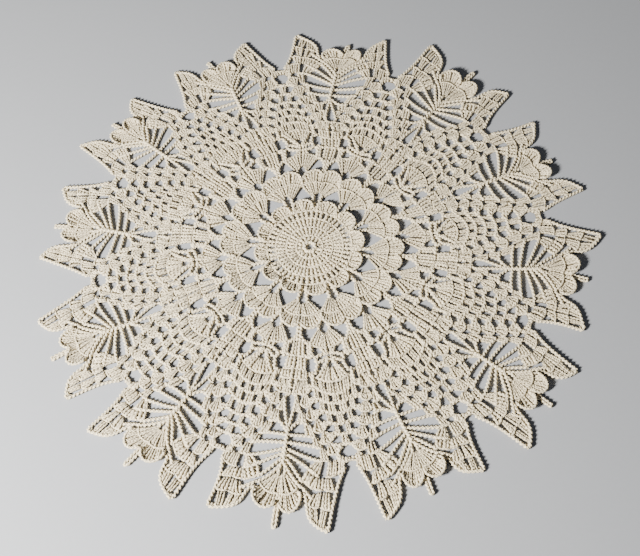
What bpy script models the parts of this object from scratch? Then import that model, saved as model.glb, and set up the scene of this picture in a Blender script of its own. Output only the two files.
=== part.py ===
# A round crocheted lace doily: one flat sheet in twelve repeats, with its larger gaps cut through.
# Every repeat runs outward as scallop, heart, double fan, pineapple and leaf, and ends in an outer
# heart with a tail between two pointed tips. Sizes in the tables are millimetres and degrees,
# read from the doily's centre; the model itself is in metres, +Z up, lying on z = 0.
import bpy
import bmesh
import numpy as np
from math import atan2, cos, degrees, hypot, pi, radians, sin

MM = 0.001
THICKNESS = 2.0          # the worked cotton, pressed flat
REPEATS = 12
PITCH = 360 / REPEATS
FIRST_LEAF = -100.9      # direction of the first leaf's axis, from +X
CENTRE_SHIFT = (-2.7, 1.7)   # the middle motif lies a little off the round of the tips
CENTRE_EDGE = 38.0       # that shift is whole up to here and fades outward

SPINE_HALF = 1.7         # half the width of a leaf's spine
RUNG_HALF = 1.2          # half the width of a leaf's rungs
COTTON = (0.78, 0.72, 0.60, 1.0)

# How each repeat strays from the even round: outward and sideways (counter-clockwise) travel of
# one landmark in each repeat, first repeat first.
UNEVEN = {
    "spider": {
        "radius": 82, "angle": 15,
        "out": (-1, -2, -1, 2, -4, 2, 3, 3, 4, 0, -1, -2),
        "side": (-1, -1, 0, -2, 0, -1, -3, -1, -2, -3, -2, -1),
    },
    "drop": {
        "radius": 117, "angle": 0,
        "out": (-1, 0, 1, -1, -3, -1, -2, 1, 0, 1, 2, -3),
        "side": (-1, -1, -1, 0, 1, 0, 2, 1, -1, 1, 0, -1),
    },
    "cross": {
        "radius": 132, "angle": 0,
        "out": (0, -2, 2, 0, -4, 0, -4, -1, 0, -2, 1, 0),
        "side": (0, 1, -1, -2, 0, 0, 4, 3, 2, 2, 3, 0),
    },
    "notch": {
        "radius": 156, "angle": 15,
        "out": (-2, 2, 0, 4, 1, 2, 2, -2, 0, -2, 0, -1),
        "side": (2, 1, -2, 2, -2, 0, 4, 3, -2, 1, 2, -1),
    },
    "stem": {
        "radius": 156, "angle": 0,
        "out": (0, -1, 1, 0, 0, 0, -2, -1, 1, -3, -1, 1),
        "side": (0, 2, -1, 0, -1, -1, 2, 3, 1, 0, 2, 1),
    },
    "tail": {
        "radius": 190, "angle": 0,
        "out": (7, 0, 3, -2, -5, 4, -8, -5, -4, -5, 2, 5),
        "side": (0, -1, -3, -5, -3, -6, -5, 11, 3, 1, 7, -2),
    },
    "tip after": {
        "radius": 194, "angle": 10,
        "out": (4, -2, 1, 5, -2, 6, -2, -4, 1, -3, 0, 3),
        "side": (-1, 2, -6, -3, -1, 1, 4, 4, -2, -6, 4, 2),
    },
    "tip before": {
        "radius": 194, "angle": -10,
        "out": (-2, 2, 5, -4, 2, 1, -2, -2, -3, -5, -1, 1),
        "side": (-9, 1, -1, -10, 1, -4, 1, 11, 10, 1, 9, -3),
    },
}
# Rings of landmarks, from the inside out. Between two landmarks the travel is shared.
RINGS = (("spider",), ("drop",), ("cross",), ("notch", "stem"), ("tail", "tip after", "tip before"))

# Rounded gaps: direction and radius of the middle, half length outward, half width, lean of the
# long axis, and pinch, which narrows the outer end (positive) or the inner one (negative).
# A paired gap is on both sides of the leaf's axis.
ROUND_GAPS = (
    # name            angle  radius  long  wide  lean  pinch  points  paired
    ("stem gap",        0.0,   40.7,  4.0,  2.1,    0,   0.0,      6, False),
    ("fan gap",        15.0,   61.7,  4.9,  1.7,    0,  -0.3,      6, False),
    ("spider gap",      6.8,   88.9,  4.2,  2.8,    6,   0.0,      7, True),
    ("drop",            0.0,  117.2,  7.6,  3.2,    0,   0.6,      9, False),
    ("side drop",       1.9,  125.8,  3.9,  1.7,  -14,   0.4,      6, True),
    ("pineapple gap",  13.1,  139.6,  3.1,  1.7,    0,   0.0,      6, True),
    ("notch gap",      15.0,  149.1,  3.9,  3.9,    0,  -0.2,      8, False),
    ("band gap",        9.3,  158.2,  3.9,  1.9,   -9,   0.0,      6, True),
)

# The leaf's rungs: where each leaves the spine, its outer end along and across the leaf, and how
# far across the gap beyond it reaches.
RUNGS = (
    # spine   along  across  reach
    (136.2,  136.0,   12.5,  15.5),
    (141.8,  142.8,   17.0,  20.0),
    (146.6,  152.5,   20.5,  20.5),
    (149.3,  158.0,   16.5,  16.5),
    (151.8,  161.5,   11.5,  11.5),
)
RUNG_ROOM = 3.4          # how far the narrow gaps between rungs stop short of the spine

# The edge of half a repeat, from the tail's root outward and round to the notch.
TAIL_END = 190.6
TAIL_HALF = 1.7
TAIL_ROOT = 178.6
LOBE = {"angle": 2.9, "radius": 172.8, "long": 10.0, "wide": 6.1, "from": 50, "to": -66, "points": 6}
EDGE = (
    # radius  angle
    (173.6,    4.8),     # foot of the cut between the outer heart and the tip
    (179.5,    5.1),
    (186.6,    6.2),
    (191.4,    8.0),
    (195.4,    9.9),     # the tip
    (191.5,   10.6),
    (178.0,   11.5),
    (168.5,   12.4),
    (162.0,   13.7),
)
NOTCH = 157.6            # foot of the wide notch between two repeats


def turn_to_plane(radius, angle):
    """A point of the even round, in millimetres, as x and y."""
    turn = radians(FIRST_LEAF + angle)
    return np.array((radius * cos(turn), radius * sin(turn)))


def travel_on_ring(ring, angle):
    """How far the cloth strays at a ring, in x and y, for a direction from the first leaf."""
    marks = []
    for name in ring:
        row = UNEVEN[name]
        for repeat in range(REPEATS):
            at = (repeat * PITCH + row["angle"]) % 360
            turn = radians(FIRST_LEAF + at)
            out = row["out"][repeat]
            side = row["side"][repeat]
            x = out * cos(turn) - side * sin(turn)
            y = out * sin(turn) + side * cos(turn)
            marks.append((at, x, y))
    marks.sort()
    at, x, y = np.array(marks).T
    return np.array((np.interp(angle, at, x, period=360), np.interp(angle, at, y, period=360)))


def place(radius, angle):
    """The point of the real, uneven doily for a radius and a direction from the first leaf."""
    radii = [CENTRE_EDGE]
    travels = [np.array(CENTRE_SHIFT)]
    for ring in RINGS:
        radii.append(UNEVEN[ring[0]]["radius"])
        travels.append(travel_on_ring(ring, angle))
    travels = np.array(travels)
    x = np.interp(radius, radii, travels[:, 0])
    y = np.interp(radius, radii, travels[:, 1])
    return turn_to_plane(radius, angle) + (x, y)


def to_polar(across, along):
    """A point beside and along a leaf's axis, as radius and direction from that axis."""
    return hypot(across, along), degrees(atan2(across, along))


def round_gap(angle, radius, long, wide, lean, pinch, points):
    """An oval whose outer or inner end is pinched, leaning from the radius by so many degrees."""
    loop = []
    for step in range(points):
        turn = 2 * pi * step / points
        up = long * cos(turn)
        over = wide * sin(turn) * (1 - pinch * cos(turn))
        across = over * cos(radians(lean)) + up * sin(radians(lean))
        along = up * cos(radians(lean)) - over * sin(radians(lean))
        gap_radius, gap_angle = to_polar(across, radius + along)
        loop.append((gap_radius, angle + gap_angle))
    return loop


def scallop_gap():
    """The gap between a scallop of the middle and two hearts: a rounded rim and a point."""
    side = ((37.4, 7.6), (40.2, 9.0), (43.8, 6.2), (46.4, 2.4))
    loop = [(radius, -angle) for radius, angle in side]
    loop += [(48.9, 0.0)]
    loop += [(radius, angle) for radius, angle in reversed(side)]
    loop += [(39.0, 0.0)]
    return [(radius, PITCH / 2 + angle) for radius, angle in loop]


def lobe_gap():
    """The gap under one lobe of a heart: the lobe's round rim above, a point below."""
    return [(64.7, 2.7), (68.4, 2.5), (71.9, 4.9), (67.6, 7.3), (62.9, 9.6), (64.3, 6.2)]


def rung_gaps():
    """The gaps between a leaf's rungs: four-cornered near the drop, wedges further out."""
    first = [(SPINE_HALF, 133.0), (5.8, 129.4), (10.4, 129.2), (12.2, RUNGS[0][1] - RUNG_HALF)]
    first += [(SPINE_HALF, RUNGS[0][0] - RUNG_HALF)]
    gaps = [first]
    for inner, outer in zip(RUNGS, RUNGS[1:]):
        near = RUNG_ROOM if outer[0] - inner[0] < 4 else SPINE_HALF
        gap = []
        for rung, way in ((inner, 1), (outer, -1)):
            slope = (rung[1] - rung[0]) / rung[2]
            half = RUNG_HALF * hypot(1, slope)
            ends = (near, min(rung[3], inner[3] + 1))
            line = [(across, rung[0] + slope * across + way * half) for across in ends]
            gap += line if way > 0 else reversed(line)
        if gap[3][1] - gap[0][1] < 0.6:
            middle = (gap[3][1] + gap[0][1]) / 2
            gap = [(gap[0][0], middle), gap[1], gap[2]]
        gaps.append(gap)
    return [[to_polar(across, along) for across, along in gap] for gap in gaps]


def mirrored(loop):
    return [(radius, -angle) for radius, angle in reversed(loop)]


def repeat_gaps():
    """All gaps of one repeat, as loops of radius and direction from the leaf's axis."""
    gaps = [scallop_gap(), lobe_gap(), mirrored(lobe_gap())]
    for name, angle, radius, long, wide, lean, pinch, points, paired in ROUND_GAPS:
        loop = round_gap(angle, radius, long, wide, lean, pinch, points)
        gaps.append(loop)
        if paired:
            gaps.append(mirrored(loop))
    for loop in rung_gaps():
        gaps += [loop, mirrored(loop)]
    return gaps


def lobe_edge():
    """The round outer edge of one lobe of the outer heart, from the tail's root to the cut."""
    middle = LOBE["radius"] * sin(radians(LOBE["angle"]))
    edge = []
    for step in np.linspace(LOBE["from"], LOBE["to"], LOBE["points"]):
        across = middle - LOBE["wide"] * sin(radians(step))
        along = LOBE["radius"] + LOBE["long"] * cos(radians(step))
        edge.append(to_polar(across, along))
    return edge


def repeat_edge():
    """The outer edge of one repeat, from the notch before it to the tip after it."""
    half = [to_polar(TAIL_HALF, TAIL_END - 1), to_polar(TAIL_HALF, TAIL_ROOT)]
    half += lobe_edge()
    half += EDGE
    before = [(radius, -angle) for radius, angle in reversed(half)]
    return [(NOTCH, -PITCH / 2)] + before + [(TAIL_END, 0.0)] + half


def place_loop(loop, repeat):
    return np.array([place(radius, repeat * PITCH + angle) for radius, angle in loop])


def add_loop(curve, points):
    spline = curve.splines.new("POLY")
    spline.points.add(len(points) - 1)
    for point, (x, y) in zip(spline.points, points):
        point.co = (x * MM, y * MM, 0, 1)
    spline.use_cyclic_u = True


def cotton_material():
    material = bpy.data.materials.new("ecru cotton")
    material.use_nodes = True
    shader = material.node_tree.nodes["Principled BSDF"]
    shader.inputs["Base Color"].default_value = COTTON
    shader.inputs["Roughness"].default_value = 0.9
    shader.inputs["Metallic"].default_value = 0.0
    return material


def build_doily():
    edge = np.concatenate([place_loop(repeat_edge(), repeat) for repeat in range(REPEATS)])
    middle = (edge.min(axis=0) + edge.max(axis=0)) / 2
    curve = bpy.data.curves.new("doily outline", "CURVE")
    curve.dimensions = "2D"
    curve.fill_mode = "BOTH"
    curve.extrude = THICKNESS / 2 * MM
    add_loop(curve, edge - middle)
    for repeat in range(REPEATS):
        for loop in repeat_gaps():
            add_loop(curve, place_loop(loop, repeat) - middle)
    outline = bpy.data.objects.new("doily outline", curve)
    collection = bpy.data.collections.new("lace doily")
    bpy.context.scene.collection.children.link(collection)
    collection.objects.link(outline)
    outline.location.z = THICKNESS / 2 * MM
    bpy.context.view_layer.update()

    # the filled outline becomes one closed mesh
    evaluated = outline.evaluated_get(bpy.context.evaluated_depsgraph_get())
    mesh = bpy.data.meshes.new_from_object(evaluated)
    mesh.name = "doily"
    cloth = bmesh.new()
    cloth.from_mesh(mesh)
    bmesh.ops.remove_doubles(cloth, verts=cloth.verts, dist=0.00002)
    bmesh.ops.recalc_face_normals(cloth, faces=cloth.faces)
    cloth.to_mesh(mesh)
    cloth.free()
    doily = bpy.data.objects.new("doily", mesh)
    doily.matrix_world = outline.matrix_world.copy()
    doily.data.materials.clear()
    doily.data.materials.append(cotton_material())
    collection.objects.link(doily)
    bpy.data.objects.remove(outline)
    print("doily:", len(mesh.vertices), "points,", len(mesh.polygons), "faces, middle", middle)


for old in list(bpy.data.objects):
    bpy.data.objects.remove(old)
build_doily()
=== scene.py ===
import bpy
import numpy as np
from math import pi, radians
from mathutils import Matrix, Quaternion, Vector


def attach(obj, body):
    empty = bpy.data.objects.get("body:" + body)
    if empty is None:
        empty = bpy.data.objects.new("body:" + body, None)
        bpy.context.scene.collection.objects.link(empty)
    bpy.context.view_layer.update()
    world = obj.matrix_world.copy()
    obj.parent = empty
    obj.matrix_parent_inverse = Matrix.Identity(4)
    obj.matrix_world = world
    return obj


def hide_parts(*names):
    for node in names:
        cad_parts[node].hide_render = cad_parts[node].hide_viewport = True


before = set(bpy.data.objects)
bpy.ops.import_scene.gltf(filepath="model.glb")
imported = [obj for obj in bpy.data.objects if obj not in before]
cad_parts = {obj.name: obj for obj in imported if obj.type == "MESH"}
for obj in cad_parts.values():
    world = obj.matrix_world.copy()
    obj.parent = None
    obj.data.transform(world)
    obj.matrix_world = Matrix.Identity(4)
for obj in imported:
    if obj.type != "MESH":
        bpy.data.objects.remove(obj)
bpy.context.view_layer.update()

mm = 0.001
lineSamples = 60
rng = np.random.default_rng(1877)

# The even round, in millimetres and degrees from the doily's centre. Repeats run counter-clockwise.
cloth = {
    "repeats": 12,
    "pitch": 30.0,
    "firstLeaf": -100.9,         # direction of the first leaf's axis, from +X
    "middleShift": (-2.7, 1.7),  # the middle motif lies a little off the round of the tips
    "middleEdge": 38.0,          # that shift is whole up to here and fades outward
    "swell": 0.35,               # how far the lying cloth rises in slow waves
    "swellLength": 46.0,
    "slant": (0.4, -0.6),        # how much each of the two waves leans
    "unlike": 1.4,               # length of the second wave over that of the first
}

# How each repeat strays: outward and sideways (counter-clockwise) travel of one landmark in each
# repeat, first repeat first.
uneven = {
    "spider": {
        "radius": 82, "angle": 15,
        "out": (-1, -2, -1, 2, -4, 2, 3, 3, 4, 0, -1, -2),
        "side": (-1, -1, 0, -2, 0, -1, -3, -1, -2, -3, -2, -1),
    },
    "drop": {
        "radius": 117, "angle": 0,
        "out": (-1, 0, 1, -1, -3, -1, -2, 1, 0, 1, 2, -3),
        "side": (-1, -1, -1, 0, 1, 0, 2, 1, -1, 1, 0, -1),
    },
    "cross": {
        "radius": 132, "angle": 0,
        "out": (0, -2, 2, 0, -4, 0, -4, -1, 0, -2, 1, 0),
        "side": (0, 1, -1, -2, 0, 0, 4, 3, 2, 2, 3, 0),
    },
    "notch": {
        "radius": 156, "angle": 15,
        "out": (-2, 2, 0, 4, 1, 2, 2, -2, 0, -2, 0, -1),
        "side": (2, 1, -2, 2, -2, 0, 4, 3, -2, 1, 2, -1),
    },
    "stem": {
        "radius": 156, "angle": 0,
        "out": (0, -1, 1, 0, 0, 0, -2, -1, 1, -3, -1, 1),
        "side": (0, 2, -1, 0, -1, -1, 2, 3, 1, 0, 2, 1),
    },
    "tail": {
        "radius": 190, "angle": 0,
        "out": (7, 0, 3, -2, -5, 4, -8, -5, -4, -5, 2, 5),
        "side": (0, -1, -3, -5, -3, -6, -5, 11, 3, 1, 7, -2),
    },
    "tip after": {
        "radius": 194, "angle": 10,
        "out": (4, -2, 1, 5, -2, 6, -2, -4, 1, -3, 0, 3),
        "side": (-1, 2, -6, -3, -1, 1, 4, 4, -2, -6, 4, 2),
    },
    "tip before": {
        "radius": 194, "angle": -10,
        "out": (-2, 2, 5, -4, 2, 1, -2, -2, -3, -5, -1, 1),
        "side": (-9, 1, -1, -10, 1, -4, 1, 11, 10, 1, 9, -3),
    },
}
rings = (("spider",), ("drop",), ("cross",), ("notch", "stem"), ("tail", "tip after", "tip before"))
outermost = ((195.4, 9.9), (191.5, 10.6), (191.4, 8.0), (190.6, 0.0))  # radius and angle of the edge


def turnToPlane(radius, angle):
    # x is the radius times the cosine of the direction, y the radius times its sine
    turn = np.radians(cloth["firstLeaf"] + angle)
    return np.stack((radius * np.cos(turn), radius * np.sin(turn)), -1)


def strayAtRing(ring, angle):
    # each landmark's outward and sideways travel is turned into x and y, and a direction between
    # two landmarks takes its share of both
    marks = []
    for name in ring:
        row = uneven[name]
        at = (np.arange(cloth["repeats"]) * cloth["pitch"] + row["angle"]) % 360
        turn = np.radians(cloth["firstLeaf"] + at)
        out = np.array(row["out"])
        side = np.array(row["side"])
        x = out * np.cos(turn) - side * np.sin(turn)
        y = out * np.sin(turn) + side * np.cos(turn)
        marks.append(np.stack((at, x, y)))
    marks = np.concatenate(marks, axis=1)
    at, x, y = marks[:, np.argsort(marks[0])]
    return np.stack((np.interp(angle, at, x, period=360), np.interp(angle, at, y, period=360)), -1)


def onCloth(radius, angle):
    # the point of the even round, plus the middle's shift, plus each ring's change of travel times
    # the part of the way to that ring that the point lies out
    travel = np.broadcast_to(cloth["middleShift"], radius.shape + (2,))
    inner = cloth["middleEdge"]
    before = travel
    total = travel
    for ring in rings:
        outer = uneven[ring[0]]["radius"]
        after = strayAtRing(ring, angle)
        share = np.clip((radius - inner) / (outer - inner), 0, 1)
        total = total + share[..., None] * (after - before)
        inner = outer
        before = after
    return turnToPlane(radius, angle) + total


def middleOfEdge():
    # halfway between the lowest and the highest x and y of the outermost points of all repeats
    radius, angle = np.array(outermost).T
    repeats = np.arange(cloth["repeats"])[:, None] * cloth["pitch"]
    radius, ways = np.broadcast_arrays(radius, np.stack((repeats + angle, repeats - angle)))
    points = onCloth(radius, ways).reshape(-1, 2)
    return (points.min(axis=0) + points.max(axis=0)) / 2


middle = middleOfEdge()
print("lay of the cloth: middle of the edge at", middle)


def smoothLine(points, count):
    # corners are cut three times, each at a quarter of its two sides, and the line is then walked
    # in equal steps
    line = np.asarray(points, float)
    for cut in range(3):
        quarters = np.stack((0.75 * line[:-1] + 0.25 * line[1:], 0.25 * line[:-1] + 0.75 * line[1:]), 1)
        line = np.concatenate((line[:1], quarters.reshape(-1, line.shape[1]), line[-1:]))
    walked = np.concatenate(([0], np.cumsum(np.linalg.norm(np.diff(line, axis=0), axis=1))))
    steps = np.linspace(0, walked[-1], count)
    return np.stack([np.interp(steps, walked, column) for column in line.T], -1)


def pointsAlong(points, share):
    # the points at the given shares of the smooth line, between the nearest two of its samples
    line = smoothLine(points, lineSamples)
    steps = np.linspace(0, 1, lineSamples)
    return np.stack([np.interp(share, steps, column) for column in line.T], -1)


def lengthOf(points):
    # the straight parts of a line, added up
    return np.linalg.norm(np.diff(np.asarray(points, float), axis=0), axis=1).sum()


def slowWaves(x, y):
    # two crossing sine waves of unlike length, from 0 to 1
    long = cloth["swellLength"]
    first = np.sin(2 * pi * (x + cloth["slant"][0] * y) / long + 0.7)
    second = np.sin(2 * pi * (y + cloth["slant"][1] * x) / (cloth["unlike"] * long))
    return 0.5 + 0.25 * first + 0.25 * second


def layDown(local, height, axis, sides):
    # local is across and along from an axis of the repeat. Each repeat, and each side of the axis,
    # gets its own copy: the radius is the length of (across, along), the direction is its angle
    # from the axis
    repeats = np.repeat(np.arange(cloth["repeats"]), len(sides))
    signs = np.tile(sides, cloth["repeats"])
    shape = (len(repeats),) + (1,) * (local.ndim - 2)
    across = local[..., 0] * signs.reshape(shape)
    along = np.broadcast_to(local[..., 1], across.shape)
    radius = np.hypot(across, along)
    angle = np.degrees(np.arctan2(across, along)) + axis + (repeats * cloth["pitch"]).reshape(shape)
    flat = onCloth(radius, angle % 360) - middle
    waves = cloth["swell"] * slowWaves(flat[..., 0], flat[..., 1])
    lifted = np.broadcast_to(height, across.shape) + waves
    return np.concatenate((flat, lifted[..., None]), -1)


# painted shade baked into every strand: the hollows of its twist and its lower side are darker
paintedStrandShade = {
    "twist": 0.25,       # how much painted shade darkens a strand in the hollows of its twist
    "low": 0.5,          # and how much painted shade darkens its lower side
    "lowest": 0.9,
    "from": 0.6,         # the lower side begins at this height over a strand's middle, in half heights
}


def strands(path, wide, high, shade, sides, turns, ply):
    # an oval is carried along each path: point = path + across wide w cos(a) + over high w sin(a),
    # where across is level and square to the path, over is square to both, and w, which makes the
    # twist, is 1 + ply cos(2 (a - turns around so far)), each strand's twist starting anywhere
    count, rungs = path.shape[:2]
    ahead = np.gradient(path, axis=1)
    ahead /= np.linalg.norm(ahead, axis=-1, keepdims=True)
    across = np.cross(ahead, (0.0, 0.0, 1.0))
    across /= np.linalg.norm(across, axis=-1, keepdims=True)
    over = np.cross(across, ahead)
    step = np.linalg.norm(np.diff(path, axis=1), axis=-1)
    walked = np.concatenate((np.zeros((count, 1)), np.cumsum(step, axis=1)), axis=1)
    around = 2 * pi * np.arange(sides) / sides
    start = rng.uniform(0, 0.5, (count, 1, 1))
    twist = 1 + ply * np.cos(2 * (around - 2 * pi * (turns * walked[..., None] + start)))
    sideways = (wide[..., None] * twist * np.cos(around))[..., None] * across[:, :, None]
    upward = (high[..., None] * twist * np.sin(around))[..., None] * over[:, :, None]
    points = path[:, :, None] + sideways + upward
    index = np.arange(count * rungs * sides).reshape(count, rungs, sides)
    beside = np.roll(index, -1, axis=2)
    quads = np.stack((index[:, :-1], index[:, 1:], beside[:, 1:], beside[:, :-1]), -1)
    left, far = np.broadcast_arrays(np.arange(sides) / sides, walked[:, :-1, None])
    right, further = np.broadcast_arrays((np.arange(sides) + 1) / sides, walked[:, 1:, None])
    quadUv = np.stack((np.stack((left, far), -1), np.stack((left, further), -1),
                       np.stack((right, further), -1), np.stack((right, far), -1)), -2)
    caps = np.concatenate((index[:, 0], index[:, -1, ::-1]))
    capUv = np.zeros(caps.shape + (2,))
    capUv[..., 0] = np.arange(sides) / sides
    # painted shade: the lower side and the hollows of the twist are darkened, on top of the tone and shade
    # given
    low = np.clip(paintedStrandShade["from"] - np.sin(around), 0, paintedStrandShade["lowest"])
    tone = shade[..., None] - paintedStrandShade["twist"] * (twist - 1) / ply + paintedStrandShade["low"] * low
    return {"points": points.reshape(-1, 3), "faces": [quads.reshape(-1, 4), caps],
            "uv": [quadUv.reshape(-1, 2), capUv.reshape(-1, 2)], "shade": tone.reshape(-1)}


def ground(top, thick, shade):
    # a thin closed slab under a patch of stitches: its upper side is the grid of points, its lower
    # side the same grid set down by the thickness, and a wall runs round the rim
    count, rows, columns = top.shape[:3]
    points = np.stack((top, top - (0, 0, thick)), 1)
    index = np.arange(points.size // 3).reshape(count, 2, rows, columns)
    up = index[:, 0]
    down = index[:, 1]
    upper = np.stack((up[:, :-1, :-1], up[:, 1:, :-1], up[:, 1:, 1:], up[:, :-1, 1:]), -1)
    lower = np.stack((down[:, :-1, :-1], down[:, :-1, 1:], down[:, 1:, 1:], down[:, 1:, :-1]), -1)

    def rim(grid):
        sides = (grid[:, 0, :-1], grid[:, :-1, -1], grid[:, -1, :0:-1], grid[:, :0:-1, 0])
        return np.concatenate(sides, 1)

    here = rim(up)
    below = rim(down)
    wall = np.stack((here, np.roll(here, -1, 1), np.roll(below, -1, 1), below), -1)
    quads = np.concatenate([part.reshape(-1, 4) for part in (upper, lower, wall)])
    outward = top[:, 1, 0] - top[:, 0, 0]
    sideways = top[:, 0, 1] - top[:, 0, 0]
    flips = np.cross(outward, sideways)[:, 2] < 0  # these patches would face down
    owner = quads[:, 0] // (2 * rows * columns)
    quads[flips[owner]] = quads[flips[owner]][:, ::-1]
    flatPoints = points.reshape(-1, 3)
    uv = flatPoints[quads.reshape(-1)][:, :2] * (0.12, 1.0)
    return {"points": flatPoints, "faces": [quads], "uv": [uv], "shade": np.full(len(flatPoints), shade)}


def makePiece(name, parts, material):
    # one mesh of all the parts' points and faces, in metres, smooth, with its UV map and each point's random
    # tone and painted shade
    points = np.concatenate([part["points"] for part in parts]) * mm
    starts = np.cumsum([0] + [len(part["points"]) for part in parts[:-1]])
    corners, sizes, uvs = [], [], []
    for part, start in zip(parts, starts):
        for faces, uv in zip(part["faces"], part["uv"]):
            corners.append((faces + start).ravel())
            sizes.append(np.full(len(faces), faces.shape[1]))
            uvs.append(uv)
    corners = np.concatenate(corners).astype(np.int32)
    sizes = np.concatenate(sizes)
    begins = np.concatenate(([0], np.cumsum(sizes)[:-1])).astype(np.int32)
    mesh = bpy.data.meshes.new(name)
    mesh.vertices.add(len(points))
    mesh.vertices.foreach_set("co", points.astype(np.float32).ravel())
    mesh.loops.add(len(corners))
    mesh.loops.foreach_set("vertex_index", corners)
    mesh.polygons.add(len(sizes))
    mesh.polygons.foreach_set("loop_start", begins)
    mesh.update(calc_edges=True)
    mesh.polygons.foreach_set("use_smooth", np.ones(len(sizes), bool))
    strandMap = mesh.uv_layers.new(name="strand")
    strandMap.data.foreach_set("uv", np.concatenate(uvs).astype(np.float32).ravel())
    # the share by which the cotton's colour is darkened: each point's random tone and painted shade
    shade = mesh.attributes.new("toneAndPaintedShade", "FLOAT", "POINT")
    shade.data.foreach_set("value", np.concatenate([part["shade"] for part in parts]).astype(np.float32))
    mesh.materials.append(material)
    mesh.validate()
    piece = bpy.data.objects.new(name, mesh)
    bpy.context.scene.collection.objects.link(piece)
    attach(piece, "root")
    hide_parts("doily")
    highest = round(float(points[:, 2].max() / mm), 1)
    print(name, "has", int((sizes - 2).sum()), "triangles, up to", highest, "mm high")
    return piece


stitch = {
    "step": 0.9,         # length between two sections, in millimetres
    "sides": 6,
    "sections": (5, 12),         # fewest and most sections of a stitch
    "room": 3.0,         # widest room of a stitch
    "fill": 0.47,        # half a stitch's width, as a share of its room
    "least": 0.55,
    "most": 1.15,
    "widths": (0.9, 1.1),
    "roundness": 0.85,   # height over width
    "lie": 0.95,         # height of a stitch's middle line
    "crown": 0.25,
    "knot": 0.17,        # swelling where the yarn is wrapped
    "wrap": 2.6,         # length from wrap to wrap
    "jitter": 0.22,
    "rough": 0.18,       # how unevenly high the stitches lie
    "ply": 0.32,
    "turns": 0.18,       # turns of the twist to a millimetre
    "tone": 0.3,
    "waistShade": 0.25,       # painted shade: how much darker the thin places between the wraps are
    "overrun": 0.35,     # how far a stitch runs into the rows before and after
    "ends": 0.7,         # width of a strand's ends over its own
    "footShade": 0.2,         # painted shade: how much darker a stitch is at its foot, where it goes into the row before
    "spread": (-0.4, 0.6),       # stitches are lighter or darker within this, times tone
    "lifting": (0.45, 1.35),     # a row's lift varies from repeat to repeat within this
}
chain = {
    "turns": 0.18,
    "link": 2.8,         # length of one chain stitch
    "stray": 0.12,       # how far it strays sideways
    "shade": 0.1,
    "flat": 0.9,         # height over width
}
rope = {                 # a chain that crosses a gap
    "step": 0.65,
    "sides": 8,
    "ply": 0.4,
    "lump": 0.12,
}
rowTop = {               # a chain along the top of a row
    "step": 0.85,
    "sides": 5,
    "ply": 0.2,
    "lump": 0.3,
    "radius": 0.7,
    "height": 1.35,
}
backing = {
    "height": 0.95,
    "thick": 0.55,
    # painted shade: the layer takes the full shade colour, standing for the shade in the gaps between
    # stitches
    "shade": 1.0,
    "inset": 0.12,
    "ends": (-0.02, 0.5, 1.02),
}
both = (1, -1)
single = (1,)
backs = []           # the thin layers of yarn behind the rows, in painted shade, gathered into one piece


def taperedEnds(rungs):
    # 1 along a strand, less at its two ends
    return np.array([stitch["ends"]] + [1.0] * (rungs - 2) + [stitch["ends"]])


def workRow(row, axis, sides=both):
    # a stitch runs from foot to rim: (1 - s) foot + s rim, pushed sideways by bow times
    # 4 s (1 - s) and back by curl times s cubed, at a height of lie + lift s squared + crown
    # sin(pi s); its width swells with cos(2 pi length so far / wrap)
    count = row["stitches"]
    share = (np.arange(count) + 0.5) / count
    foot = pointsAlong(row["foot"], share)[:, None]
    rim = pointsAlong(row["rim"], share)[:, None]
    way = rim - foot
    long = np.linalg.norm(way, axis=-1, keepdims=True)
    over = stitch["overrun"] / long[..., 0]
    rungs = int(np.clip(long.mean() / stitch["step"], *stitch["sections"])) + 1
    s = np.linspace(-over[:, 0], 1 + over[:, 0], rungs, axis=1)[..., None]
    beside = np.stack((way[..., 1], -way[..., 0]), -1) / long
    bow = row.get("bow", 0.0) * (2 * share - 1)[:, None, None]
    local = foot + s * way + beside * bow * 4 * s * (1 - s)
    curl = row.get("curl", 0.0)
    local = local - way / long * curl * np.clip(s, 0, 1) ** 3
    widest = row.get("room", stitch["room"])
    if count > 1:
        room = np.minimum(np.linalg.norm(np.gradient(local, axis=0), axis=-1), widest)
    else:
        room = np.full(s.shape[:2], widest)
    wide = np.clip(stitch["fill"] * room, stitch["least"], stitch["most"])
    flatS = s[..., 0]
    inside = np.clip(flatS, 0, 1)
    height = stitch["lie"] + stitch["crown"] * np.sin(pi * inside)
    copies = cloth["repeats"] * len(sides)
    lifts = row.get("lift", 0.0) * rng.uniform(*stitch["lifting"], copies)
    height = height + lifts[:, None, None] * inside ** 2
    height = height + rng.normal(0, stitch["rough"], (copies, count, 1))
    wander = rng.normal(0, stitch["jitter"], (3, copies, count, 1, 2))
    wander = wander[0] * (1 - s) + wander[1] * s + wander[2] * 4 * s * (1 - s)
    path = layDown(local + wander, height, axis, sides)
    phase = rng.uniform(0, 1, (copies, count, 1))
    swell = np.cos(2 * pi * (flatS * long[..., 0] / stitch["wrap"] + phase))
    wide = wide * (1 + stitch["knot"] * swell) * rng.uniform(*stitch["widths"], (copies, count, 1))
    tones = stitch["tone"] * rng.uniform(*stitch["spread"], (copies, count, 1))
    # painted shade at the foot and at the thin places, with each stitch's random tone
    dark = stitch["footShade"] * (1 - inside) + tones - stitch["waistShade"] * swell
    wide = (wide * taperedEnds(rungs)).reshape(-1, rungs)
    made = [strands(path.reshape(-1, rungs, 3), wide, wide * stitch["roundness"],
                    dark.reshape(-1, rungs), stitch["sides"], stitch["turns"], stitch["ply"])]
    backLayer(row, axis, sides, lifts)
    if row.get("top", True):
        line = {
            "line": row["rim"],
            "radius": row.get("topRadius", rowTop["radius"]),
            "height": row.get("topHeight", rowTop["height"]),
            "lifts": lifts,
            "link": lengthOf(row["rim"]) / count,
            "kind": rowTop,
        }
        made += workChain(line, axis, sides)
    return made


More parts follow.
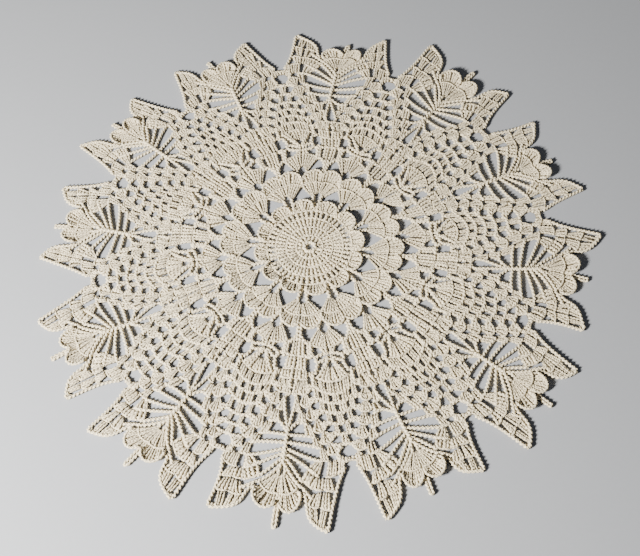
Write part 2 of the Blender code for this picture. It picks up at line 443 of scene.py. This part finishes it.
def backLayer(row, axis, sides, lifts):
    # a thin layer of the yarn behind the stitches, (1 - s) foot + s rim at s of -0.02, 0.5 and
    # 1.02, drawn in at its edges
    columns = max(3, row["stitches"] // 2 + 1)
    inset = backing["inset"] / row["stitches"]
    share = np.linspace(inset, 1 - inset, columns)
    foot = pointsAlong(row["foot"], share)
    rim = pointsAlong(row["rim"], share)
    s = np.array(backing["ends"])[:, None, None]
    way = rim - foot
    long = np.linalg.norm(way, axis=-1, keepdims=True)
    local = foot + s * way - way / long * row.get("curl", 0.0) * s ** 3
    height = backing["height"] + lifts[:, None, None] * s[..., 0] ** 2
    top = layDown(local[None], height, axis, sides)
    # painted shade: the whole layer is given the full shade colour
    backs.append(ground(top, backing["thick"], backing["shade"]))


def workChain(line, axis, sides=both):
    # a chain of stitches along a line: its radius is 1 + lump cos(2 pi walked / link) of its own,
    # and it strays by three random points, blended along the line
    kind = line.get("kind", rope)
    count = max(5, int(lengthOf(line["line"]) / kind["step"]))
    local = smoothLine(line["line"], count)
    copies = cloth["repeats"] * len(sides)
    lifts = line.get("lifts", np.zeros(copies))
    height = line.get("height", 1.0) + lifts[:, None, None]
    height = np.broadcast_to(height, (copies, 1, count))
    stray = rng.normal(0, chain["stray"], (copies, 1, 3, 2))
    steps = np.linspace(0, 2, count)
    mix = np.stack((np.clip(1 - steps, 0, 1), 1 - abs(steps - 1), np.clip(steps - 1, 0, 1)), -1)
    wander = np.einsum("sk,cnkd->cnsd", mix, stray)
    path = layDown(local[None] + wander, height, axis, sides).reshape(-1, count, 3)
    walked = np.linspace(0, lengthOf(local), count)
    lump = 1 + kind["lump"] * np.cos(2 * pi * walked / line.get("link", chain["link"]))
    wide = np.broadcast_to(line["radius"] * lump * taperedEnds(count), path.shape[:-1])
    # painted shade at the thin places between the chain's lumps
    waistShade = np.broadcast_to((lump - 1) / np.ptp(lump) * 2, wide.shape)
    shade = chain["shade"] - stitch["waistShade"] * waistShade
    return [strands(path, wide, wide * chain["flat"], shade, kind["sides"], chain["turns"], kind["ply"])]


class Shade:
    # one output of a node; sums and products of it add Math nodes
    def __init__(self, tree, socket=None):
        self.tree = tree
        self.socket = socket

    def node(self, kind, settings=None, inputs=None, output=0):
        new = self.tree.nodes.new(kind)
        for key, value in (settings or {}).items():
            setattr(new, key, value)
        for key, value in (inputs or {}).items():
            if isinstance(value, Shade):
                self.tree.links.new(value.socket, new.inputs[key])
            else:
                new.inputs[key].default_value = value
        return Shade(self.tree, new.outputs[output])

    def maths(self, operation, *values):
        return self.node("ShaderNodeMath", {"operation": operation}, dict(enumerate(values)))

    def __add__(self, other):
        return self.maths("ADD", self, other)

    def __radd__(self, other):
        return self.maths("ADD", other, self)

    def __sub__(self, other):
        return self.maths("SUBTRACT", self, other)

    def __rsub__(self, other):
        return self.maths("SUBTRACT", other, self)

    def __mul__(self, other):
        return self.maths("MULTIPLY", self, other)

    def __rmul__(self, other):
        return self.maths("MULTIPLY", other, self)

    def mix(self, share, first, second):
        return self.node("ShaderNodeMix", {"data_type": "RGBA"}, {0: share, 6: first, 7: second}, 2)


cotton = {
    "light": (0.88, 0.78, 0.56, 1),
    "warm": (0.80, 0.68, 0.45, 1),
    # the dark brown that painted shade and random tone mix the cotton towards
    "toneAndShadeColour": (0.10, 0.078, 0.045, 1),
    "roughness": 0.82,
    "sheen": 0.25,
    "sheenRoughness": 0.5,
    "specular": 0.25,
    "plies": 4,            # twist lines around a strand
    "plyLength": 1.7,      # and their length along it, in millimetres
    "plyShade": 0.16,       # painted shade: how much darker it is between them, in the hollows of the twist
    "fibreScale": 1500.0,
    # how much darker the fibres are where their noise sinks the bump: their grain, and painted shade in the
    # hollows
    "fibreGrainAndShade": 0.2,
    "fibreRough": 0.12,
    "patchScale": 26.0,    # slow changes between the two lighter colours
    "bumpTwist": 0.7,
    "bumpFibre": 0.8,
    "bumpStrength": 0.8,
    "bumpDistance": 0.00022,
}


def newMaterial(name):
    # a material, its shader, and a start for expressions in its tree
    material = bpy.data.materials.new(name)
    material.use_nodes = True
    shader = material.node_tree.nodes["Principled BSDF"]
    return material, shader, Shade(material.node_tree)


def ecruCotton():
    # the twist lines are sin(2 pi (plies around + along / their length)) in the strand's own map. A strand is
    # darker by painted shade between them, by its points' random tone and painted shade, and where its fibres
    # sink: grain and painted shade
    material, shader, start = newMaterial("ecruCotton")
    uv = start.node("ShaderNodeUVMap", {"uv_map": "strand"})
    around = start.node("ShaderNodeSeparateXYZ", inputs={0: uv})
    along = Shade(start.tree, around.socket.node.outputs[1])
    turns = around * (2 * pi * cotton["plies"]) + along * (2 * pi / cotton["plyLength"])
    twist = start.maths("SINE", turns)
    place = start.node("ShaderNodeTexCoord", output=3)
    fibre = start.node("ShaderNodeTexNoise", {"noise_dimensions": "3D"},
                       {"Vector": place, "Scale": cotton["fibreScale"], "Detail": 3.0, "Roughness": 0.6})
    patches = start.node("ShaderNodeTexNoise", {"noise_dimensions": "3D"},
                         {"Vector": place, "Scale": cotton["patchScale"], "Detail": 3.0, "Roughness": 0.55})
    # the random tone and painted shade that each point carries
    toneAndPaintedShade = start.node("ShaderNodeAttribute", {"attribute_name": "toneAndPaintedShade"}, output=2)
    colour = start.mix(patches, cotton["light"], cotton["warm"])
    # painted shade in the hollows between the twist lines, where the bump sinks
    between = (0.5 - 0.5 * twist) * cotton["plyShade"]
    dark = toneAndPaintedShade + between + (fibre - 0.5) * cotton["fibreGrainAndShade"]
    colour = start.mix(dark, colour, cotton["toneAndShadeColour"])
    height = twist * cotton["bumpTwist"] + fibre * cotton["bumpFibre"]
    bump = start.node("ShaderNodeBump", inputs={
        "Height": height, "Strength": cotton["bumpStrength"], "Distance": cotton["bumpDistance"]})
    rough = fibre * cotton["fibreRough"] + (cotton["roughness"] - cotton["fibreRough"] / 2)
    start.tree.links.new(colour.socket, shader.inputs["Base Color"])
    start.tree.links.new(rough.socket, shader.inputs["Roughness"])
    start.tree.links.new(bump.socket, shader.inputs["Normal"])
    shader.inputs["Sheen Weight"].default_value = cotton["sheen"]
    shader.inputs["Sheen Roughness"].default_value = cotton["sheenRoughness"]
    shader.inputs["Specular IOR Level"].default_value = cotton["specular"]
    return material


yarn = ecruCotton()
leaf = 0.0
pineapple = cloth["pitch"] / 2
print("cotton is mixed")


middleMotif = {
    "rounds": (          # inner radius, outer radius, stitches
        (5.0, 9.2, 16),
        (9.4, 16.0, 32),
        (16.2, 23.3, 48),
        (23.6, 29.4, 48),
    ),
    "startRing": {"radius": 3.75, "thick": 1.4, "height": 1.2, "links": 12},
    "roundTop": {"thick": 0.62, "height": 1.4},
    "fill": 0.44,        # half a stitch's width, as a share of its room on the round
    "least": 0.5,
    "most": 1.2,
    "roundness": 0.8,
    "overrun": 0.05,     # a stitch runs past its round by this share of it
    "rough": 0.1,
    "turned": 0.5,       # degrees by which a stitch stands off its place
    "ringStep": 0.8,
    "ringLump": 0.12,
    "backed": 25,        # the rounds up to this radius have a backing
    "scallop": {
        "foot": ((-5.3, 29.0), (0, 29.9), (5.3, 29.0)),
        "rim": ((-6.6, 30.8), (-6.8, 34.0), (-4.6, 36.9), (0, 38.1), (4.6, 36.9), (6.8, 34.0),
                (6.6, 30.8)),
        "stitches": 9,
        "lift": 1.2,
        "curl": 0.6,
        "topRadius": 0.9,
        "topHeight": 1.3,
    },
}


def workRound(inner, outer, count):
    # one full round: a stitch every 360 / count degrees, from the inner radius to the outer one,
    # at a height of lie + crown sin(pi s)
    past = middleMotif["overrun"]
    angle = (np.arange(count) + 0.5) * 360 / count
    rungs = int((outer - inner) / stitch["step"]) + 2
    s = np.linspace(-past, 1 + past, rungs)
    radius = inner + (outer - inner) * s
    turned = rng.normal(0, middleMotif["turned"], (count, 1))
    radius, angle = np.broadcast_arrays(radius, angle[:, None] + turned)
    flat = onCloth(radius, angle % 360) - middle
    height = stitch["lie"] + stitch["crown"] * np.sin(pi * np.clip(s, 0, 1))
    height = height + rng.normal(0, middleMotif["rough"], (count, 1))
    path = np.concatenate((flat, height[..., None]), -1)
    phase = rng.uniform(0, 1, (count, 1))
    swell = np.cos(2 * pi * ((outer - inner) * s / stitch["wrap"] + phase))
    wide = middleMotif["fill"] * radius * 2 * pi / count
    wide = np.clip(wide, middleMotif["least"], middleMotif["most"]) * (1 + stitch["knot"] * swell)
    wide = wide * taperedEnds(rungs)
    tones = stitch["tone"] * rng.uniform(*stitch["spread"], (count, 1))
    # painted shade at the foot and at the thin places, with each stitch's random tone
    dark = stitch["footShade"] * (1 - s) + tones - stitch["waistShade"] * swell
    return [strands(path, wide, wide * middleMotif["roundness"], dark,
                    stitch["sides"], stitch["turns"], stitch["ply"])]


def workRing(radius, thick, height, links):
    # a closed chain ring, with a lump for each link: its last section lies on its first
    count = max(24, int(2 * pi * radius / middleMotif["ringStep"]))
    angle = np.linspace(0, 360, count + 1)
    flat = onCloth(np.full(count + 1, radius), angle % 360) - middle
    path = np.concatenate((flat, np.full((count + 1, 1), height)), -1)[None]
    wide = thick * (1 + middleMotif["ringLump"] * np.cos(np.radians(angle) * links))[None]
    return [strands(path, wide, wide * chain["flat"], np.zeros(wide.shape),
                    rope["sides"], chain["turns"], rope["ply"])]


def roundGround(inner, outer):
    # a thin ring of backing under the rounds: radius by direction, at one height
    radius = np.linspace(inner, outer, 4)[:, None]
    radius, angle = np.broadcast_arrays(radius, np.linspace(0, 360, 61))
    flat = onCloth(radius, angle % 360) - middle
    grid = np.concatenate((flat, np.full(radius.shape + (1,), backing["height"])), -1)
    # painted shade: the whole ring is given the full shade colour
    backs.append(ground(grid[None], backing["thick"], backing["shade"]))


def makeMiddle():
    # a start ring, four rounds of stitches with a chain ring round each, and twelve scallops
    parts = workRing(**middleMotif["startRing"])
    for inner, outer, count in middleMotif["rounds"]:
        parts += workRound(inner, outer, count)
        parts += workRing(outer, links=count, **middleMotif["roundTop"])
        if outer < middleMotif["backed"]:
            roundGround(inner - 0.5, outer)
    parts += workRow(middleMotif["scallop"], pineapple, single)
    return makePiece("middleMotif", parts, yarn)


hearts = {
    "stem": {"line": ((0.7, 29.6), (1.4, 33.6), (2.6, 37.8), (3.0, 42.4)), "radius": 1.1, "height": 1.1},
    "first": {
        "foot": ((0.3, 45.4), (1.6, 43.4), (3.2, 41.8), (5.0, 41.4)),
        "rim": ((0.2, 52.8), (4.5, 53.0), (8.4, 51.8), (11.4, 50.0), (13.0, 47.8)),
        "stitches": 7,
        "lift": 0.2,
    },
    "second": {
        "foot": ((0.2, 53.2), (4.5, 53.3), (8.4, 51.9), (10.9, 50.4), (12.6, 49.2)),
        "rim": ((0.2, 58.8), (2.9, 61.9), (6.9, 62.5), (10.6, 60.5), (13.1, 57.6), (14.0, 54.4),
                (13.6, 50.2)),
        "stitches": 9,
        "lift": 1.0,
        "curl": 0.3,
        "topRadius": 0.9,
        "topHeight": 1.3,
    },
}
doubleFans = {
    "stem": {"line": ((0.6, 54.8), (2.2, 57.6), (3.3, 60.6), (3.5, 63.0)), "radius": 1.0, "height": 1.2},
    "rows": (
        {"foot": ((0.4, 67.2), (1.8, 65.2), (3.2, 62.8), (4.3, 62.4)),
         "rim": ((0.3, 76.8), (3.5, 76.4), (7.0, 75.2), (10.2, 73.6), (11.9, 71.2)), "stitches": 6},
        {"foot": ((0.3, 77.0), (3.0, 76.8), (5.8, 76.0)), "rim": ((0.3, 81.0), (1.6, 80.8), (3.2, 80.3)),
         "stitches": 2},
    ),
}
spider = {
    "strands": (
        ((0.4, 80.4), (4.4, 80.6), (8.0, 81.9), (9.8, 83.4)),
        ((0.6, 82.8), (3.4, 84.5), (6.2, 85.8), (8.8, 86.4)),
        ((8.6, 86.4), (9.2, 89.6), (11.4, 94.2)),
        ((0.6, 83.8), (2.8, 87.0), (5.2, 91.0), (8.0, 95.0)),
        ((0.4, 84.2), (2.3, 86.6), (3.3, 89.6), (3.6, 91.4)),
        ((10.9, 72.6), (11.4, 77.4), (11.4, 82.4)),
        ((9.7, 82.2), (9.3, 84.2), (8.7, 86.4)),
        ((9.9, 81.6), (13.0, 81.4), (16.4, 80.8)),
    ),
    "radius": 1.1,
    "height": 1.15,
}


def makeHearts():
    # two rows of stitches on two crossed chains
    parts = workChain(hearts["stem"], leaf)
    for name in ("first", "second"):
        parts += workRow(hearts[name], leaf)
    return makePiece("hearts", parts, yarn)


def makeFans():
    # the fan under each pineapple and the chains of the spider over it
    parts = workChain(doubleFans["stem"], pineapple)
    for row in doubleFans["rows"]:
        parts += workRow(row, pineapple)
    for line in spider["strands"]:
        strand = {"line": line, "radius": spider["radius"], "height": spider["height"]}
        parts += workChain(strand, pineapple)
    return makePiece("doubleFans", parts, yarn)


leafBase = {
    "strands": (
        ((0.9, 59.6), (0.9, 66.0), (1.0, 72.0)),
        ((8.0, 72.0), (8.6, 78.0), (8.9, 84.0)),
        ((1.0, 66.6), (2.6, 70.4), (6.2, 73.4)),
        ((0.9, 98.0), (3.0, 101.6), (0.8, 105.4)),
        ((11.4, 92.6), (12.6, 96.6), (13.2, 101.6)),
    ),
    "radius": 1.1,
    "height": 1.1,
    "rows": (
        {"foot": ((0.2, 71.4), (3.8, 71.0)), "rim": ((0.2, 82.8), (4.8, 82.6)), "stitches": 2},
        {"foot": ((5.0, 71.4), (8.0, 72.2)), "rim": ((6.6, 83.0), (8.8, 83.2)),
         "stitches": 1, "room": 2.4},
        {"foot": ((0.2, 83.4), (3.8, 83.4), (6.6, 84.0)), "rim": ((0.2, 91.6), (3.8, 92.0), (7.8, 92.6)),
         "stitches": 3},
        {"foot": ((0.2, 92.2), (4.0, 92.6), (9.2, 93.6)), "rim": ((0.6, 98.2), (5.0, 98.8), (9.2, 98.2)),
         "stitches": 4},
        {"foot": ((8.6, 93.6), (12.6, 93.6)), "rim": ((11.4, 96.6), (14.2, 97.4)), "stitches": 2},
    ),
}


def makeLeafBase():
    # pairs and blocks of stitches with the large holes of the spiders beside them
    parts = []
    for line in leafBase["strands"]:
        strand = {"line": line, "radius": leafBase["radius"], "height": leafBase["height"]}
        parts += workChain(strand, leaf)
    for row in leafBase["rows"]:
        parts += workRow(row, leaf)
    return makePiece("leafBases", parts, yarn)


pineapples = {
    "base": {
        "foot": ((-4.4, 88.8), (-2.0, 90.6), (0, 91.2), (2.0, 90.6), (4.4, 88.8)),
        "rim": ((-11.2, 96.6), (-6.0, 99.8), (0, 101.0), (6.0, 99.8), (11.2, 96.6)),
        "stitches": 9,
    },
    "bend": 0.036,       # how the rows curve: a row lies bend times across squared further in
    # inner edge, outer edge, middles of the groups of stitches, half a group's width at foot and rim
    "rows": (
        (101.8, 108.8, (-12.6, -8.0, -2.7, 2.7, 8.0, 12.6), 2.2, 2.6),
        (109.2, 115.4, (-12.0, -6.5, 0.0, 6.5, 12.0), 2.3, 2.7),
        (115.8, 122.4, (-9.8, -3.6, 3.6, 9.8), 2.4, 2.9),
        (122.8, 129.8, (-6.8, 0.0, 6.8), 2.4, 2.9),
        (130.2, 137.0, (-3.6, 3.6), 2.4, 2.8),
        (137.4, 143.6, (0.0,), 2.2, 2.8),
    ),
    "outermost": 0.66,   # the width of a row's first and last group, as a share of the others'
    "reach": 1.9,        # how far the chain over a row runs past the middle of its last group
    "bow": -0.3,
    "stitches": 3,
    "rowRadius": 1.05,
    "rowLink": 2.6,
    "notch": {
        "foot": ((-6.4, 149.6), (-3.4, 153.2), (0, 153.9), (3.4, 153.2), (6.4, 149.6)),
        "rim": ((-7.0, 154.8), (-3.4, 156.3), (0, 155.2), (3.4, 156.3), (7.0, 154.8)),
        "stitches": 7,
    },
    "tip": {
        "line": ((-9.2, 142.8), (-4.7, 144.3), (0, 144.3), (4.7, 144.3), (9.2, 142.8)),
        "radius": 1.0,
    },
}


def makePineapples():
    # every row of groups is bent: along = its own place - bend across squared
    parts = workRow(pineapples["base"], pineapple, single)
    bend = pineapples["bend"]
    for inner, outer, groups, footHalf, rimHalf in pineapples["rows"]:
        for place in groups:
            isLast = place != 0 and abs(place) == groups[-1]
            share = pineapples["outermost"] if isLast else 1
            ends = []
            for along, half in ((inner, footHalf * share), (outer, rimHalf * share)):
                edge = np.array((place - half, place, place + half))
                ends.append(np.stack((edge, along - bend * edge ** 2), -1))
            row = {
                "foot": ends[0],
                "rim": ends[1],
                "stitches": pineapples["stitches"],
                "bow": pineapples["bow"],
                "top": False,
            }
            parts += workRow(row, pineapple, single)
        reach = groups[-1] + pineapples["reach"]
        across = np.linspace(-reach, reach, 9)
        over = {
            "line": np.stack((across, outer + 0.2 - bend * across ** 2), -1),
            "radius": pineapples["rowRadius"],
            "link": pineapples["rowLink"],
        }
        parts += workChain(over, pineapple, single)
    parts += workRow(pineapples["notch"], pineapple, single)
    parts += workChain(pineapples["tip"], pineapple, single)
    return makePiece("pineapples", parts, yarn)


bands = {
    # the larger holes along the pineapple and the smaller ones along the leaf, as across and along
    "outerHoles": ((10.0, 98.6), (12.5, 108.0), (16.1, 115.5), (21.0, 123.0), (26.1, 130.5), (31.5, 137.0)),
    "innerHoles": ((5.0, 99.4), (6.0, 110.0), (9.7, 118.5), (14.5, 126.5), (19.5, 134.5), (24.5, 142.0)),
    "footHalf": 1.3,
    "outerBack": 3.0,    # how far before an outer hole's middle a shell ends
    "innerBack": 1.3,
    "rimBack": 0.4,
    "beyond": 1.6,       # how far a shell reaches past the line of the inner holes
    "stitches": 5,
    "bridge": {"inwards": 3.2, "outwards": 3.4, "spacing": 0.85, "radius": 1.05},  # two strands between holes
    "strand": {"line": ((33.4, 141.0), (32.8, 145.0), (32.4, 148.6), (33.6, 151.6)), "radius": 1.05},
}
# groups of stitches between the inner holes and the leaf: foot, rim, number of stitches
besideLeaf = (
    (((2.2, 100.2), (5.6, 100.4)), ((0.2, 108.4), (2.8, 109.0), (5.6, 108.4)), 3),
    (((3.0, 109.8), (4.8, 111.6)), ((2.9, 119.4), (5.8, 120.4), (8.6, 120.0)), 3),
    (((6.2, 121.2), (10.2, 120.6)), ((5.6, 126.0), (9.0, 127.4), (12.8, 127.8)), 3),
    (((9.4, 129.2), (14.8, 128.4)), ((12.2, 135.6), (15.5, 136.6), (18.4, 136.0)), 3),
    (((16.4, 137.4), (19.9, 136.6)), ((17.1, 142.6), (20.4, 143.8), (23.4, 143.4)), 3),
    (((21.2, 144.8), (24.9, 144.0)), ((22.2, 150.8), (25.4, 152.0), (28.2, 151.0)), 3),
    (((20.6, 151.8), (24.2, 152.8)), ((14.8, 156.6), (19.2, 160.0), (23.4, 161.2)), 4),
    (((14.2, 157.6), (19.0, 160.6), (23.4, 162.0)), ((12.4, 162.2), (15.5, 165.4), (20.6, 168.0)), 4),
    (((26.3, 140.9), (29.0, 139.8)),
     ((26.2, 147.0), (28.8, 147.2), (32.0, 147.0), (33.8, 144.0), (34.6, 140.8)), 5),
    (((26.6, 152.0), (29.8, 151.9), (32.0, 150.4)), ((26.8, 160.8), (30.4, 160.6), (33.4, 158.8)), 4),
    (((32.6, 149.4), (35.2, 150.2), (37.6, 150.4)), ((34.0, 158.8), (35.8, 157.0), (37.2, 154.4)), 3),
)


def groupRows(groups):
    # the rows of a table of feet, rims and numbers of stitches
    return [{"foot": foot, "rim": rim, "stitches": count} for foot, rim, count in groups]


def bandShells():
    # shell i stands on the middle between the two i-th holes and spreads to the next two
    outer = np.array(bands["outerHoles"])
    inner = np.array(bands["innerHoles"])
    shells = []
    bridges = []
    bridge = bands["bridge"]
    for i in range(len(outer) - 1):
        foot = (outer[i] + inner[i]) / 2
        rim = (outer[i + 1] + inner[i + 1]) / 2
        way = (rim - foot) / np.linalg.norm(rim - foot)
        side = (inner[i] - outer[i]) / np.linalg.norm(inner[i] - outer[i])
        past = (inner[i] + inner[i + 1]) / 2 + side * bands["beyond"]
        shells.append({
            "foot": (foot - side * bands["footHalf"], foot + side * bands["footHalf"]),
            "rim": (outer[i + 1] - way * bands["outerBack"], rim - way * bands["rimBack"],
                    inner[i + 1] - way * bands["innerBack"], past),
            "stitches": bands["stitches"],
        })
        halfway = (outer[i] + outer[i + 1]) / 2
        for step in (-bridge["spacing"], bridge["spacing"]):
            at = halfway + way * step
            line = (at + side * bridge["inwards"], at, at - side * bridge["outwards"])
            bridges.append({"line": line, "radius": bridge["radius"]})
    return shells, bridges


def makeBands(name, sides):
    # the chains between the holes, the shells and the groups beside the leaf
    parts = []
    shells, bridges = bandShells()
    for line in bridges + [bands["strand"]]:
        parts += workChain(line, leaf, sides)
    for row in shells + groupRows(besideLeaf):
        parts += workRow(row, leaf, sides)
    return makePiece(name, parts, yarn)


leaves = {
    "spine": {"line": ((0, 130.6), (0, 142.0), (0, 155.4)), "radius": 1.25, "height": 1.45},
    "crossing": {
        "line": ((3.9, 112.0), (3.1, 118.6), (1.5, 125.6), (0.4, 131.2), (-0.6, 134.6)),
        "radius": 0.9,
        "height": 1.3,
    },
    "drop": {"line": ((0.6, 108.9), (3.6, 110.4), (4.4, 113.4), (4.0, 117.0)), "radius": 0.8},
    "rungs": (           # from the spine outwards, along the rims of the groups beside the leaf
        ((0.2, 133.6), (2.8, 130.6), (5.4, 127.8), (8.2, 127.2), (12.6, 128.0)),
        ((0.3, 136.0), (6.0, 135.7), (12.5, 135.6), (18.0, 136.4)),
        ((0.3, 141.0), (8.0, 141.5), (17.0, 142.3), (22.2, 143.2)),
        ((0.3, 144.8), (5.0, 146.6), (10.0, 148.6), (20.5, 151.8), (24.4, 151.8)),
        ((0.3, 147.8), (8.0, 152.3), (16.5, 157.5), (22.4, 160.4)),
        ((0.3, 150.6), (4.6, 155.0), (9.0, 159.9), (13.4, 164.6)),
        ((0.4, 154.2), (3.2, 158.0), (7.2, 162.6), (13.2, 167.6)),
    ),
    "rungRadius": 1.0,
    "rungHeight": 1.2,
}


def makeLeaves():
    # a spine and the chains that run from it across the open leaf
    parts = workChain(leaves["spine"], leaf, single)
    parts += workChain(leaves["crossing"], leaf)
    parts += workChain(leaves["drop"], leaf)
    for line in leaves["rungs"]:
        rung = {"line": line, "radius": leaves["rungRadius"], "height": leaves["rungHeight"]}
        parts += workChain(rung, leaf)
    return makePiece("leaves", parts, yarn)


outerHearts = {
    "stem": {"line": ((0.7, 153.6), (1.6, 157.0), (2.0, 161.0)), "radius": 0.95, "height": 1.2},
    "first": {
        "foot": ((0.3, 161.4), (1.8, 160.4), (3.4, 160.8)),
        "rim": ((0.2, 170.8), (4.0, 171.8), (8.0, 170.8), (11.4, 167.8)),
        "stitches": 7,
        "lift": 0.5,
    },
    "second": {
        "foot": ((0.2, 171.2), (4.0, 172.1), (8.0, 171.1), (11.6, 168.4)),
        "rim": ((0.8, 176.0), (2.6, 178.6), (5.4, 180.6), (9.2, 180.8), (12.6, 178.0), (14.0, 173.8),
                (13.4, 170.2)),
        "stitches": 10,
        "lift": 1.6,
        "curl": 0.5,
        "topRadius": 0.95,
        "topHeight": 1.3,
    },
    "tail": {
        "line": ((0.75, 170.8), (1.0, 177.0), (1.0, 187.2), (0.8, 188.8),
                 (-0.8, 188.8), (-1.0, 187.2), (-1.0, 177.0), (-0.75, 170.8)),
        "radius": 0.88,
        "height": 1.1,
    },
}


def makeOuterHearts():
    # two rows of stitches on a pair of chains, and the tail, a chain out and back
    parts = workChain(outerHearts["stem"], leaf)
    for name in ("first", "second"):
        parts += workRow(outerHearts[name], leaf)
    parts += workChain(outerHearts["tail"], leaf, single)
    return makePiece("outerHearts", parts, yarn)


tips = {
    "rims": (
        ((14.4, 169.6), (16.8, 172.8), (18.0, 176.6), (19.0, 180.6), (22.0, 184.9), (27.1, 187.8),
         (33.0, 190.3)),
        ((37.6, 154.4), (36.4, 158.0), (34.8, 165.0), (34.0, 174.5), (33.8, 183.0), (33.6, 190.0)),
        ((13.0, 166.8), (17.4, 170.4), (21.4, 173.6)),
    ),
    "rimRadius": 1.0,
    "rimHeight": 1.2,
    "groups": (          # foot, rim, number of stitches
        (((26.8, 161.6), (30.6, 161.8)), ((26.9, 167.4), (30.4, 168.6), (33.8, 167.8)), 3),
        (((21.4, 162.0), (26.4, 161.8)), ((20.6, 167.2), (23.6, 168.4), (26.5, 167.8)), 3),
        (((27.2, 169.0), (30.4, 169.4)), ((26.8, 177.2), (30.0, 178.4), (33.4, 178.2)), 3),
        (((21.4, 170.4), (26.2, 169.2)), ((18.6, 176.6), (22.2, 178.0), (26.2, 177.2)), 4),
        (((27.2, 178.8), (31.2, 179.4)), ((26.8, 187.4), (28.8, 188.2), (30.6, 188.0)), 3),
        (((19.2, 178.0), (25.4, 178.4)), ((21.4, 184.0), (24.0, 186.0), (26.4, 187.0)), 4),
        (((28.8, 188.4), (32.2, 187.0)), ((30.8, 189.6), (33.0, 190.0)), 3),
    ),
}


def makeTips(name, sides):
    # the chains along the rim and the groups of stitches between them
    parts = []
    for line in tips["rims"]:
        rim = {"line": line, "radius": tips["rimRadius"], "height": tips["rimHeight"]}
        parts += workChain(rim, leaf, sides)
    for row in groupRows(tips["groups"]):
        parts += workRow(row, leaf, sides)
    return makePiece(name, parts, yarn)


pieces = [makeMiddle(), makeHearts(), makeFans(), makeLeafBase(), makePineapples()]
pieces += [makeBands("bandsAfter", (1,)), makeBands("bandsBefore", (-1,))]
pieces += [makeLeaves(), makeOuterHearts()]
pieces += [makeTips("tipsAfter", (1,)), makeTips("tipsBefore", (-1,))]
back = makePiece("backLayer", backs, yarn)


studio = {
    "floorSize": 3.0,
    "floorColour": (0.31, 0.325, 0.355, 1),
    "floorDark": 0.95,           # the darker grain of the floor, as a share of its colour
    "floorGrain": 300.0,
    "floorRoughness": 0.9,
    "key": {"at": (-0.70, -0.48, 0.48), "size": 0.16, "power": 50.0, "colour": (1.0, 0.965, 0.90)},
    "fill": {"at": (0.9, 0.7, 1.4), "size": 1.6, "power": 2.5, "colour": (0.93, 0.96, 1.0)},
    "air": (0.9, 0.93, 1.0, 1),
    "airStrength": 0.06,
}


def makeFloor():
    # one level square
    half = studio["floorSize"] / 2
    mesh = bpy.data.meshes.new("floor")
    corners = [(-half, -half, 0), (half, -half, 0), (half, half, 0), (-half, half, 0)]
    mesh.from_pydata(corners, [], [(0, 1, 2, 3)])
    floor = bpy.data.objects.new("floor", mesh)
    bpy.context.scene.collection.objects.link(floor)
    material, shader, start = newMaterial("paleFloor")
    place = start.node("ShaderNodeTexCoord", output=3)
    grain = start.node("ShaderNodeTexNoise", inputs={
        "Vector": place, "Scale": studio["floorGrain"], "Detail": 2.0})
    light = studio["floorColour"]
    dark = tuple(studio["floorDark"] * value for value in light[:3]) + (1,)
    start.tree.links.new(start.mix(grain, dark, light).socket, shader.inputs["Base Color"])
    shader.inputs["Roughness"].default_value = studio["floorRoughness"]
    mesh.materials.append(material)


def makeLight(name, row):
    # an area lamp that looks at the doily's middle
    lamp = bpy.data.lights.new(name, "AREA")
    lamp.size = row["size"]
    lamp.energy = row["power"]
    lamp.color = row["colour"]
    light = bpy.data.objects.new(name, lamp)
    light.location = row["at"]
    light.rotation_euler = (-Vector(row["at"])).to_track_quat("-Z", "Y").to_euler()
    bpy.context.scene.collection.objects.link(light)


# the camera at the photo's angle, from the doily's even centre, in metres and degrees
view = {
    "at": (0.0, -0.36494, 0.63726),
    "towards": (0.00271, -0.02255, 0.0),
    "roll": -3.93,
    "lens": 59.7,
}


def makeCamera():
    # it looks from at to towards, rolled a little about that line
    shift = Vector((-middle[0] * mm, -middle[1] * mm, 0))
    at = Vector(view["at"]) + shift
    towards = Vector(view["towards"]) + shift
    camera = bpy.data.objects.new("camera", bpy.data.cameras.new("camera"))
    camera.data.lens = view["lens"]
    camera.data.sensor_width = 36
    camera.location = at
    level = (towards - at).to_track_quat("-Z", "Y")
    camera.rotation_mode = "QUATERNION"
    camera.rotation_quaternion = level @ Quaternion((0, 0, 1), radians(view["roll"]))
    camera.data.clip_start = 0.01
    bpy.context.scene.collection.objects.link(camera)
    bpy.context.scene.camera = camera


makeFloor()
makeLight("keyLight", studio["key"])
makeLight("fillLight", studio["fill"])
world = bpy.data.worlds.new("studio")
world.use_nodes = True
world.node_tree.nodes["Background"].inputs["Color"].default_value = studio["air"]
world.node_tree.nodes["Background"].inputs["Strength"].default_value = studio["airStrength"]
bpy.context.scene.world = world
makeCamera()
print("floor, lights and camera are set")
